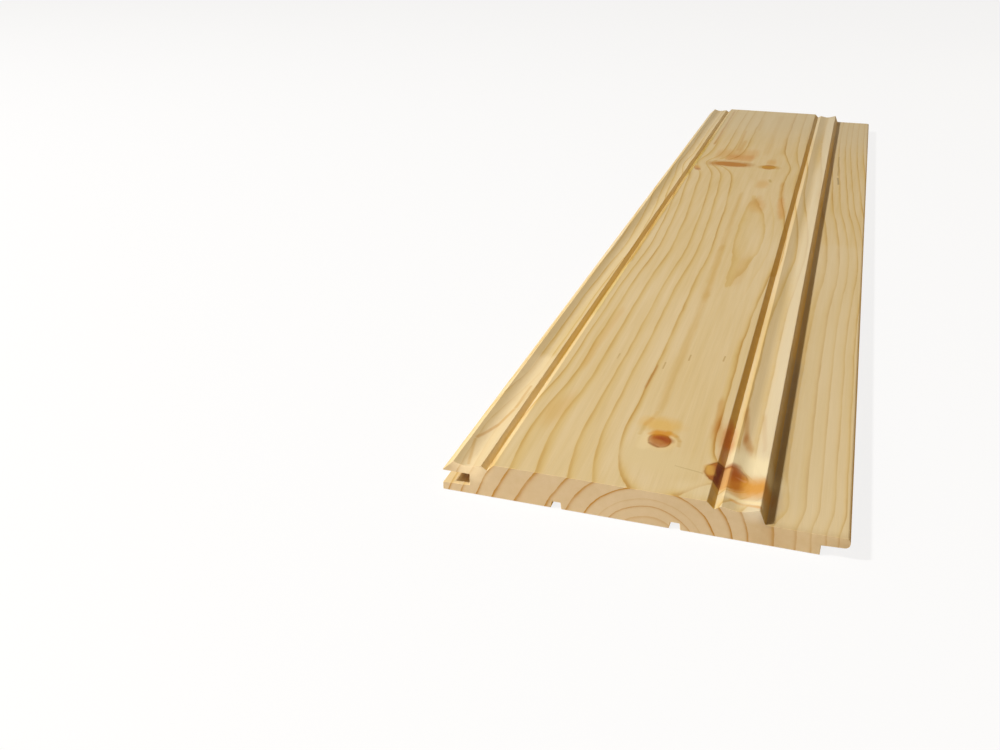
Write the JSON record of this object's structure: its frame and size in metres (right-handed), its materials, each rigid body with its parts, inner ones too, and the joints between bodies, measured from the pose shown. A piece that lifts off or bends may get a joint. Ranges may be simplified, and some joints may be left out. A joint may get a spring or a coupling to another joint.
{
  "type": "panelling board",
  "caption": "Flat wall lining board of knotty pine, with a moulded face, a tongue on one edge, a groove on the other and relief kerfs in its back.",
  "frame": {"origin": "middle of the back face, on the surface that the board lies on, halfway along its length and its overall width", "axes": "+X across the board from the groove edge to the tongue edge, +Y along the grain, +Z out of the moulded face"},
  "size_m": [0.186, 0.915, 0.0175],
  "materials": {
    "knotty_pine": "planed and moulded knotty pine, bare, with sawn ends"
  },
  "bodies": {
    "root": {"panelling_board": "knotty_pine"}
  },
  "joints": []
}
